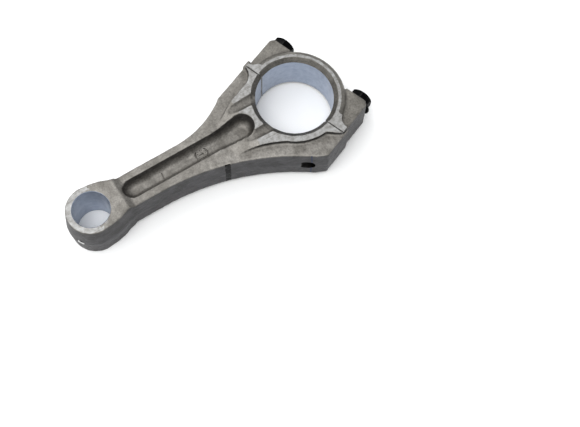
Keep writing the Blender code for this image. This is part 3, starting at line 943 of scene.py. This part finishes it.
upper_edge = [(ring_radius + 0.05, 0.0), (ring_radius - 0.05, face_half - 2.6),
              (ring_radius - 0.3, face_half - 1.5), (ring_radius - 0.9, face_half - 0.7),
              (ring_radius - 1.8, face_half - 0.2), (ring_radius - 2.5, face_half + spare),
              (0.0, face_half + spare)]
cap = turn("bearing_cap_casting", [(radius, -z) for radius, z in upper_edge[:0:-1]] + upper_edge, 128)
for side, ear_v, reach_u, blend in ((-1.0, near_ear_v, 2.0, 5.0), (1.0, far_ear_v, 0.8, 3.0)):
    ear = rise("ear", ear_outline(side, ear_v), 0.0, [(ear_height - 0.7, 0.05)] + rounded_edge)
    combine(cap, close_by_mirror(ear), "UNION")
    spread = rise("spread", spread_outline(side, ear_v, reach_u, blend), 0.0, [(face_half + spare, 0.02)])
    combine(cap, close_by_mirror(spread), "UNION")
combine(cap, turn("bore_core", bore_core, 128))
cast_skin(cap, skin_voxel, 2, 0.18)
coat(cap, cast_cap)
print("cap box:", [round(c, 2) for c in cap.dimensions])

# %% [markdown]
# The cap is ground and bored together with the rod, so it gets the same blocks and the same bar. Its own
# cuts are the joint face, the two flat seats under the bolt heads and the two clearance holes.

# %% Machining the cap
cap_joint = split_u + gap / 2

cutter = combine(grinding_blocks(), bore_cutter(), "UNION")
rod_side = to_plan_all([(-40.0, -45.0), (cap_joint, -45.0), (cap_joint, 45.0), (-40.0, 45.0)])
rod_room = close_by_filling(rise("rod_room", rod_side, -room_half, [(room_half, 0.0), (room_half, 0.0)]))
combine(cutter, coat(rod_room, ground), "UNION")
break_joint_edges(cutter, cap_joint)
for side in (-1.0, 1.0):
    seat = [(seat_u, ear_inner), (seat_u + 9.0, ear_inner), (seat_u + 9.0, 40.0), (seat_u, 40.0)]
    seat = to_plan_all(seat if side > 0.0 else [(u, -v) for u, v in seat[::-1]])
    mill = close_by_filling(rise("seat_mill", seat, -16.0, [(16.0, 0.0), (16.0, 0.0)]))
    combine(cutter, coat(mill, ground), "UNION")
    hole = drill("drill", (*to_plan(-5.0, side * bolt_v), 0.0), (*to_plan(23.0, side * bolt_v), 0.0),
                 hole_radius, 48)
    combine(cutter, coat(hole, hole_shade), "UNION")
combine(cap, cutter)
print("machined cap has", len(cap.data.polygons), "faces")

# %% [markdown]
# ## The bolts
#
# A flange bolt is turned and then pressed: the washer-like flange slopes up to a hexagon whose top is
# chamfered round. We spin the turned part, cut a six-sided prism with a turned crown for the head, and wind
# the thread with a Screw modifier from one tooth of its profile. The two ends of the winding are sliced flat
# and closed, and the winding is joined to the core. One bolt is made, and the other is a copy of it.

# %% Turned body and head of a bolt
flange_height = 1.4
hex_across_flats = 9.6
hex_height = 4.0
hex_corner = hex_across_flats / math.sqrt(3.0)
head_top = flange_height + hex_height - 0.02
shank_top = -13.0
pitch = 1.0
root_radius = 2.45

body = [(0.0, -bolt_reach), (root_radius - 0.5, -bolt_reach), (root_radius, 0.5 - bolt_reach),
        (root_radius, shank_top - 0.6), (bolt_radius - 0.05, shank_top), (bolt_radius - 0.05, -0.2),
        (bolt_radius + 0.15, 0.0), (flange_radius - 0.25, 0.0), (flange_radius - 0.02, 0.2),
        (flange_radius - 0.02, 0.75), (flange_radius - 0.2, 0.95), (hex_corner - 0.6, flange_height),
        (hex_corner - 1.0, flange_height + 0.6), (0.0, flange_height + 0.6)]
bolt = turn("bolt", body, 96)
crown_profile = [(0.0, 0.5), (hex_corner + 1.0, 0.5), (hex_corner + 1.0, head_top - 1.6),
                 (hex_corner - 0.1, head_top - 0.9), (hex_corner - 1.0, head_top - 0.3),
                 (hex_corner - 1.6, head_top - 0.08), (hex_corner - 2.4, head_top), (0.0, head_top)]
crown = turn("crown", crown_profile, 96)
deselect()
bpy.ops.mesh.primitive_cylinder_add(vertices=6, radius=hex_corner, depth=head_top + 1.0,
                                    location=(0.0, 0.0, (head_top + 1.0) / 2 + 0.6),
                                    rotation=(0.0, 0.0, math.radians(30.0)))
head = bpy.context.object
bpy.ops.object.transform_apply(location=True, rotation=True, scale=True)
combine(head, crown, "INTERSECT")
pick(head)
bpy.ops.object.modifier_add(type="BEVEL")
head.modifiers[-1].width = 0.18
head.modifiers[-1].segments = 3
head.modifiers[-1].limit_method = "ANGLE"
bpy.ops.object.modifier_apply(modifier=head.modifiers[-1].name)
weld(head)
combine(bolt, head, "UNION")
print("bolt without its thread has", len(bolt.data.polygons), "faces")

# %% Thread
thread_turns = 22
tooth = [(root_radius - 0.2, 0.0, 0.0), (root_radius, 0.0, 0.06), (bolt_radius - 0.04, 0.0, 0.42),
         (bolt_radius - 0.04, 0.0, 0.54), (root_radius, 0.0, 0.94), (root_radius - 0.2, 0.0, 1.0)]
thread = draw_line("thread", tooth)
pick(thread)
bpy.ops.object.modifier_add(type="SCREW")
winding = thread.modifiers[-1]
winding.screw_offset = pitch
winding.iterations = thread_turns + 2
winding.steps = winding.render_steps = 40
winding.use_merge_vertices = True
winding.merge_threshold = 0.0001
bpy.ops.object.modifier_apply(modifier=winding.name)
bpy.ops.transform.translate(value=(0.0, 0.0, -bolt_reach - pitch))
bpy.ops.object.transform_apply(location=True, rotation=True, scale=True)
bpy.ops.object.mode_set(mode="EDIT")
bpy.ops.mesh.select_all(action="SELECT")
bpy.ops.mesh.remove_doubles(threshold=0.001)
slice_off((0.0, 0.0, shank_top - 0.4), (0.0, 0.0, 1.0))
slice_off((0.0, 0.0, 0.8 - bolt_reach), (0.0, 0.0, -1.0))
bpy.ops.mesh.select_all(action="SELECT")
bpy.ops.mesh.fill_holes(sides=0)
turn_out(thread)
combine(bolt, thread, "UNION")
coat(bolt, black_oxide)
print("bolt with its thread has", len(bolt.data.polygons), "faces")

# %% [markdown]
# The bolt stands upright on the bench, with the underside of its flange at height 0. It is copied, and each
# copy is laid along the joint's u axis, with the flange 0.3 mm off its seat, as in the frame.

# %% Two bolts in their holes
def lay_bolt(item, v):
    """Lays the bolt along u and slides it into its hole."""
    pick(item)
    item.rotation_euler = (0.0, math.pi / 2, split_angle)
    item.location = (*to_plan(seat_u + gap, v), 0.0)
    bpy.ops.object.transform_apply(location=True, rotation=True, scale=True)
    return item


pick(bolt)
bpy.ops.object.duplicate()
far_bolt = lay_bolt(bpy.context.object, bolt_v)
near_bolt = lay_bolt(bolt, -bolt_v)
near_bolt.name, far_bolt.name = "near_bolt_with_thread", "far_bolt_with_thread"
print("bolts:", near_bolt.name, far_bolt.name)

# %% [markdown]
# ## Into the frame
#
# Each piece is shaded smooth, with hard edges where it turns sharply and wherever two finishes meet, and is
# then carried from the bench to its place. It rides on the body that moves it and replaces its CAD node.

# %% Placing the pieces
plan = ((rod, "rod", "rod_body", "cast_rod"), (cap, "cap", "bearing_cap", "cast_cap"),
        (near_bolt, "near_bolt", "cap_bolt_near", "bolt_steel"),
        (far_bolt, "far_bolt", "cap_bolt_far", "bolt_steel"))
for piece, body_name, node, slot_name in plan:
    to_frame(shade(piece))
    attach(piece, body_name)
    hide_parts(node)

# %% The two boxes, for comparison, and the end
low, high_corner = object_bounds()
print("CAD box:   ", [round(1000 * c, 2) for c in (*cad_low, *cad_high)])
print("visual box:", [round(1000 * c, 2) for c in (*low, *high_corner)])
